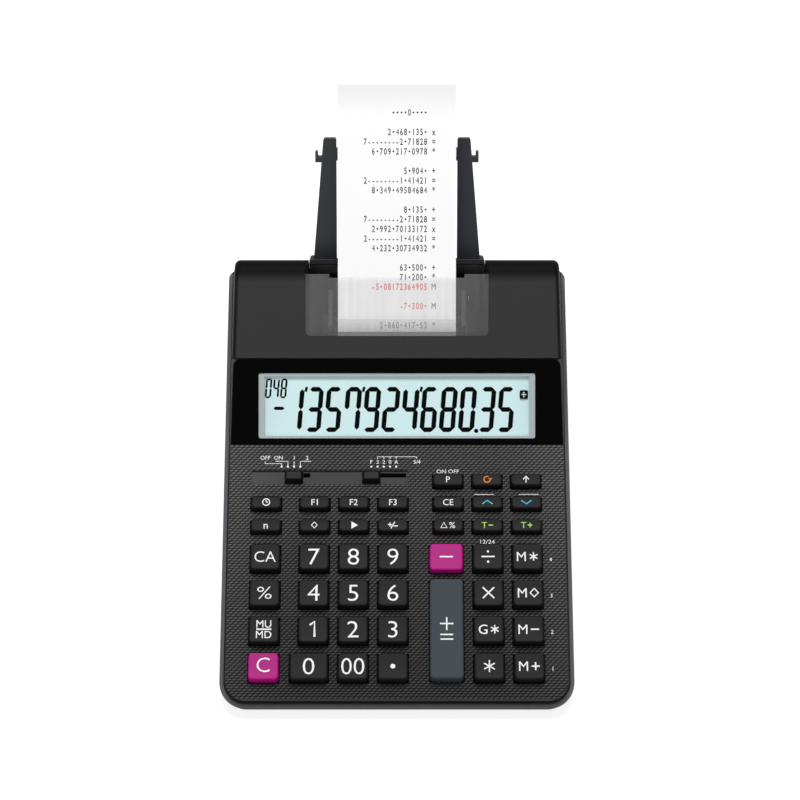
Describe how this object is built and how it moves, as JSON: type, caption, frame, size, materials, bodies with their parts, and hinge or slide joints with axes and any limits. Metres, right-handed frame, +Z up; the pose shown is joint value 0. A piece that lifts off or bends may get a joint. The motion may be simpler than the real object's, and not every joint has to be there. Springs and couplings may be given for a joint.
{
  "type": "printing desk calculator",
  "caption": "Wedge-shaped printing desk calculator with sprung keys, tilted display, lift-off printer cover with smoked tear window, paper strip and folding paper-roll arms.",
  "frame": {"origin": "on the desk under the middle of the overall box", "axes": "+X to the user's right, +Y to the back, +Z up; the keys face the user at -Y"},
  "size_m": [0.165, 0.2764, 0.1142],
  "materials": {
    "case_grey": "fine textured grey plastic",
    "case_black": "textured near-black plastic",
    "gloss_panel": "polished black",
    "smoked_window": "smoked clear plastic",
    "lcd_frame": "satin light grey",
    "lcd": "pale blue-grey display",
    "board": "green circuit board",
    "key_rubber": "translucent grey rubber",
    "key_dark": "satin near-black",
    "key_red": "satin magenta",
    "key_blue": "satin blue-grey",
    "switch": "satin dark grey",
    "arm": "satin dark grey",
    "paper": "matt white paper",
    "roller": "ground rubber",
    "steel": "plain coated steel",
    "foot": "matt black rubber"
  },
  "bodies": {
    "case": {"lower_case": "case_grey", "upper_case": "case_black", "display_panel": "gloss_panel", "lcd_frame": "lcd_frame", "lcd_glass": "lcd", "main_board": "board", "key_mat": "key_rubber", "printer_frame": "steel", "rubber_feet": "foot"},
    "arms": {"paper_arms": "arm"},
    "cover": {"printer_cover": "case_black", "tear_window": "smoked_window"},
    "mode_switch": {"mode_slider": "switch"},
    "decimal_switch": {"decimal_slider": "switch"},
    "paper": {"paper_strip": "paper"},
    "roller": {"feed_roller": "roller"},
    "battery_cover": {"battery_lid": "case_grey"},
    "key_backspace": {"key_backspace": "key_dark"},
    "key_check_down": {"key_check_down": "key_dark"},
    "key_check_up": {"key_check_up": "key_dark"},
    "key_clear": {"key_clear": "key_red"},
    "key_clear_all": {"key_clear_all": "key_dark"},
    "key_correct": {"key_correct": "key_dark"},
    "key_cost": {"key_cost": "key_dark"},
    "key_divide": {"key_divide": "key_dark"},
    "key_double_zero": {"key_double_zero": "key_dark"},
    "key_eight": {"key_eight": "key_dark"},
    "key_five": {"key_five": "key_dark"},
    "key_four": {"key_four": "key_dark"},
    "key_grand_total": {"key_grand_total": "key_dark"},
    "key_item_count": {"key_item_count": "key_dark"},
    "key_margin": {"key_margin": "key_dark"},
    "key_mark_up": {"key_mark_up": "key_dark"},
    "key_memory_minus": {"key_memory_minus": "key_dark"},
    "key_memory_plus": {"key_memory_plus": "key_dark"},
    "key_memory_subtotal": {"key_memory_subtotal": "key_dark"},
    "key_memory_total": {"key_memory_total": "key_dark"},
    "key_minus": {"key_minus": "key_red"},
    "key_nine": {"key_nine": "key_dark"},
    "key_one": {"key_one": "key_dark"},
    "key_paper_feed": {"key_paper_feed": "key_dark"},
    "key_percent": {"key_percent": "key_dark"},
    "key_percent_change": {"key_percent_change": "key_dark"},
    "key_plus_equals": {"key_plus_equals": "key_blue"},
    "key_point": {"key_point": "key_dark"},
    "key_print_mode": {"key_print_mode": "key_dark"},
    "key_reprint": {"key_reprint": "key_dark"},
    "key_sell": {"key_sell": "key_dark"},
    "key_seven": {"key_seven": "key_dark"},
    "key_sign_change": {"key_sign_change": "key_dark"},
    "key_six": {"key_six": "key_dark"},
    "key_subtotal": {"key_subtotal": "key_dark"},
    "key_tax_minus": {"key_tax_minus": "key_dark"},
    "key_tax_plus": {"key_tax_plus": "key_dark"},
    "key_three": {"key_three": "key_dark"},
    "key_time": {"key_time": "key_dark"},
    "key_times": {"key_times": "key_dark"},
    "key_total": {"key_total": "key_dark"},
    "key_two": {"key_two": "key_dark"},
    "key_zero": {"key_zero": "key_dark"}
  },
  "joints": [
    {"name": "arm_tilt", "type": "hinge", "parent": "case", "child": "arms", "pos_m": [0, 0.08219, 0.0423], "axis": [1, 0, 0], "range_deg": [0, 50]},
    {"name": "cover_lift", "type": "slide", "parent": "case", "child": "cover", "axis": [0, 0, 1], "range_m": [0, 0.035]},
    {"name": "mode_slide", "type": "slide", "parent": "case", "child": "mode_switch", "axis": [1, 0, 0], "range_m": [-0.00594, 0.00297]},
    {"name": "decimal_slide", "type": "slide", "parent": "case", "child": "decimal_switch", "axis": [1, 0, 0], "range_m": [0, 0.01188]},
    {"name": "paper_feed", "type": "slide", "parent": "case", "child": "paper", "axis": [0, 0.8387, 0.5446], "range_m": [0, 0.008]},
    {"name": "roller_turn", "type": "hinge", "parent": "case", "child": "roller", "pos_m": [0, 0.04668, 0.04833], "axis": [1, 0, 0], "range_deg": [-95, 0]},
    {"name": "battery_lid_slide", "type": "slide", "parent": "case", "child": "battery_cover", "axis": [0, 1, 0], "range_m": [0, 0.02]},
    {"name": "key_backspace_press", "type": "slide", "parent": "case", "child": "key_backspace", "axis": [0, -0.1305, 0.9914], "range_m": [-0.0025, 0], "stiffness_N_per_m": 240, "deforming": ["key_mat"]},
    {"name": "key_check_down_press", "type": "slide", "parent": "case", "child": "key_check_down", "axis": [0, -0.1305, 0.9914], "range_m": [-0.0025, 0], "stiffness_N_per_m": 240, "deforming": ["key_mat"]},
    {"name": "key_check_up_press", "type": "slide", "parent": "case", "child": "key_check_up", "axis": [0, -0.1305, 0.9914], "range_m": [-0.0025, 0], "stiffness_N_per_m": 240, "deforming": ["key_mat"]},
    {"name": "key_clear_press", "type": "slide", "parent": "case", "child": "key_clear", "axis": [0, -0.1305, 0.9914], "range_m": [-0.0025, 0], "stiffness_N_per_m": 240, "deforming": ["key_mat"]},
    {"name": "key_clear_all_press", "type": "slide", "parent": "case", "child": "key_clear_all", "axis": [0, -0.1305, 0.9914], "range_m": [-0.0025, 0], "stiffness_N_per_m": 240, "deforming": ["key_mat"]},
    {"name": "key_correct_press", "type": "slide", "parent": "case", "child": "key_correct", "axis": [0, -0.1305, 0.9914], "range_m": [-0.0025, 0], "stiffness_N_per_m": 240, "deforming": ["key_mat"]},
    {"name": "key_cost_press", "type": "slide", "parent": "case", "child": "key_cost", "axis": [0, -0.1305, 0.9914], "range_m": [-0.0025, 0], "stiffness_N_per_m": 240, "deforming": ["key_mat"]},
    {"name": "key_divide_press", "type": "slide", "parent": "case", "child": "key_divide", "axis": [0, -0.1305, 0.9914], "range_m": [-0.0025, 0], "stiffness_N_per_m": 240, "deforming": ["key_mat"]},
    {"name": "key_double_zero_press", "type": "slide", "parent": "case", "child": "key_double_zero", "axis": [0, -0.1305, 0.9914], "range_m": [-0.0025, 0], "stiffness_N_per_m": 240, "deforming": ["key_mat"]},
    {"name": "key_eight_press", "type": "slide", "parent": "case", "child": "key_eight", "axis": [0, -0.1305, 0.9914], "range_m": [-0.0025, 0], "stiffness_N_per_m": 240, "deforming": ["key_mat"]},
    {"name": "key_five_press", "type": "slide", "parent": "case", "child": "key_five", "axis": [0, -0.1305, 0.9914], "range_m": [-0.0025, 0], "stiffness_N_per_m": 240, "deforming": ["key_mat"]},
    {"name": "key_four_press", "type": "slide", "parent": "case", "child": "key_four", "axis": [0, -0.1305, 0.9914], "range_m": [-0.0025, 0], "stiffness_N_per_m": 240, "deforming": ["key_mat"]},
    {"name": "key_grand_total_press", "type": "slide", "parent": "case", "child": "key_grand_total", "axis": [0, -0.1305, 0.9914], "range_m": [-0.0025, 0], "stiffness_N_per_m": 240, "deforming": ["key_mat"]},
    {"name": "key_item_count_press", "type": "slide", "parent": "case", "child": "key_item_count", "axis": [0, -0.1305, 0.9914], "range_m": [-0.0025, 0], "stiffness_N_per_m": 240, "deforming": ["key_mat"]},
    {"name": "key_margin_press", "type": "slide", "parent": "case", "child": "key_margin", "axis": [0, -0.1305, 0.9914], "range_m": [-0.0025, 0], "stiffness_N_per_m": 240, "deforming": ["key_mat"]},
    {"name": "key_mark_up_press", "type": "slide", "parent": "case", "child": "key_mark_up", "axis": [0, -0.1305, 0.9914], "range_m": [-0.0025, 0], "stiffness_N_per_m": 240, "deforming": ["key_mat"]},
    {"name": "key_memory_minus_press", "type": "slide", "parent": "case", "child": "key_memory_minus", "axis": [0, -0.1305, 0.9914], "range_m": [-0.0025, 0], "stiffness_N_per_m": 240, "deforming": ["key_mat"]},
    {"name": "key_memory_plus_press", "type": "slide", "parent": "case", "child": "key_memory_plus", "axis": [0, -0.1305, 0.9914], "range_m": [-0.0025, 0], "stiffness_N_per_m": 240, "deforming": ["key_mat"]},
    {"name": "key_memory_subtotal_press", "type": "slide", "parent": "case", "child": "key_memory_subtotal", "axis": [0, -0.1305, 0.9914], "range_m": [-0.0025, 0], "stiffness_N_per_m": 240, "deforming": ["key_mat"]},
    {"name": "key_memory_total_press", "type": "slide", "parent": "case", "child": "key_memory_total", "axis": [0, -0.1305, 0.9914], "range_m": [-0.0025, 0], "stiffness_N_per_m": 240, "deforming": ["key_mat"]},
    {"name": "key_minus_press", "type": "slide", "parent": "case", "child": "key_minus", "axis": [0, -0.1305, 0.9914], "range_m": [-0.0025, 0], "stiffness_N_per_m": 240, "deforming": ["key_mat"]},
    {"name": "key_nine_press", "type": "slide", "parent": "case", "child": "key_nine", "axis": [0, -0.1305, 0.9914], "range_m": [-0.0025, 0], "stiffness_N_per_m": 240, "deforming": ["key_mat"]},
    {"name": "key_one_press", "type": "slide", "parent": "case", "child": "key_one", "axis": [0, -0.1305, 0.9914], "range_m": [-0.0025, 0], "stiffness_N_per_m": 240, "deforming": ["key_mat"]},
    {"name": "key_paper_feed_press", "type": "slide", "parent": "case", "child": "key_paper_feed", "axis": [0, -0.1305, 0.9914], "range_m": [-0.0025, 0], "stiffness_N_per_m": 240, "deforming": ["key_mat"]},
    {"name": "key_percent_press", "type": "slide", "parent": "case", "child": "key_percent", "axis": [0, -0.1305, 0.9914], "range_m": [-0.0025, 0], "stiffness_N_per_m": 240, "deforming": ["key_mat"]},
    {"name": "key_percent_change_press", "type": "slide", "parent": "case", "child": "key_percent_change", "axis": [0, -0.1305, 0.9914], "range_m": [-0.0025, 0], "stiffness_N_per_m": 240, "deforming": ["key_mat"]},
    {"name": "key_plus_equals_press", "type": "slide", "parent": "case", "child": "key_plus_equals", "axis": [0, -0.1305, 0.9914], "range_m": [-0.0025, 0], "stiffness_N_per_m": 240, "deforming": ["key_mat"]},
    {"name": "key_point_press", "type": "slide", "parent": "case", "child": "key_point", "axis": [0, -0.1305, 0.9914], "range_m": [-0.0025, 0], "stiffness_N_per_m": 240, "deforming": ["key_mat"]},
    {"name": "key_print_mode_press", "type": "slide", "parent": "case", "child": "key_print_mode", "axis": [0, -0.1305, 0.9914], "range_m": [-0.0025, 0], "stiffness_N_per_m": 240, "deforming": ["key_mat"]},
    {"name": "key_reprint_press", "type": "slide", "parent": "case", "child": "key_reprint", "axis": [0, -0.1305, 0.9914], "range_m": [-0.0025, 0], "stiffness_N_per_m": 240, "deforming": ["key_mat"]},
    {"name": "key_sell_press", "type": "slide", "parent": "case", "child": "key_sell", "axis": [0, -0.1305, 0.9914], "range_m": [-0.0025, 0], "stiffness_N_per_m": 240, "deforming": ["key_mat"]},
    {"name": "key_seven_press", "type": "slide", "parent": "case", "child": "key_seven", "axis": [0, -0.1305, 0.9914], "range_m": [-0.0025, 0], "stiffness_N_per_m": 240, "deforming": ["key_mat"]},
    {"name": "key_sign_change_press", "type": "slide", "parent": "case", "child": "key_sign_change", "axis": [0, -0.1305, 0.9914], "range_m": [-0.0025, 0], "stiffness_N_per_m": 240, "deforming": ["key_mat"]},
    {"name": "key_six_press", "type": "slide", "parent": "case", "child": "key_six", "axis": [0, -0.1305, 0.9914], "range_m": [-0.0025, 0], "stiffness_N_per_m": 240, "deforming": ["key_mat"]},
    {"name": "key_subtotal_press", "type": "slide", "parent": "case", "child": "key_subtotal", "axis": [0, -0.1305, 0.9914], "range_m": [-0.0025, 0], "stiffness_N_per_m": 240, "deforming": ["key_mat"]},
    {"name": "key_tax_minus_press", "type": "slide", "parent": "case", "child": "key_tax_minus", "axis": [0, -0.1305, 0.9914], "range_m": [-0.0025, 0], "stiffness_N_per_m": 240, "deforming": ["key_mat"]},
    {"name": "key_tax_plus_press", "type": "slide", "parent": "case", "child": "key_tax_plus", "axis": [0, -0.1305, 0.9914], "range_m": [-0.0025, 0], "stiffness_N_per_m": 240, "deforming": ["key_mat"]},
    {"name": "key_three_press", "type": "slide", "parent": "case", "child": "key_three", "axis": [0, -0.1305, 0.9914], "range_m": [-0.0025, 0], "stiffness_N_per_m": 240, "deforming": ["key_mat"]},
    {"name": "key_time_press", "type": "slide", "parent": "case", "child": "key_time", "axis": [0, -0.1305, 0.9914], "range_m": [-0.0025, 0], "stiffness_N_per_m": 240, "deforming": ["key_mat"]},
    {"name": "key_times_press", "type": "slide", "parent": "case", "child": "key_times", "axis": [0, -0.1305, 0.9914], "range_m": [-0.0025, 0], "stiffness_N_per_m": 240, "deforming": ["key_mat"]},
    {"name": "key_total_press", "type": "slide", "parent": "case", "child": "key_total", "axis": [0, -0.1305, 0.9914], "range_m": [-0.0025, 0], "stiffness_N_per_m": 240, "deforming": ["key_mat"]},
    {"name": "key_two_press", "type": "slide", "parent": "case", "child": "key_two", "axis": [0, -0.1305, 0.9914], "range_m": [-0.0025, 0], "stiffness_N_per_m": 240, "deforming": ["key_mat"]},
    {"name": "key_zero_press", "type": "slide", "parent": "case", "child": "key_zero", "axis": [0, -0.1305, 0.9914], "range_m": [-0.0025, 0], "stiffness_N_per_m": 240, "deforming": ["key_mat"]}
  ],
  "couplings": [
    {"joint": "roller_turn", "follows": "paper_feed", "rad_per_m": -200}
  ]
}
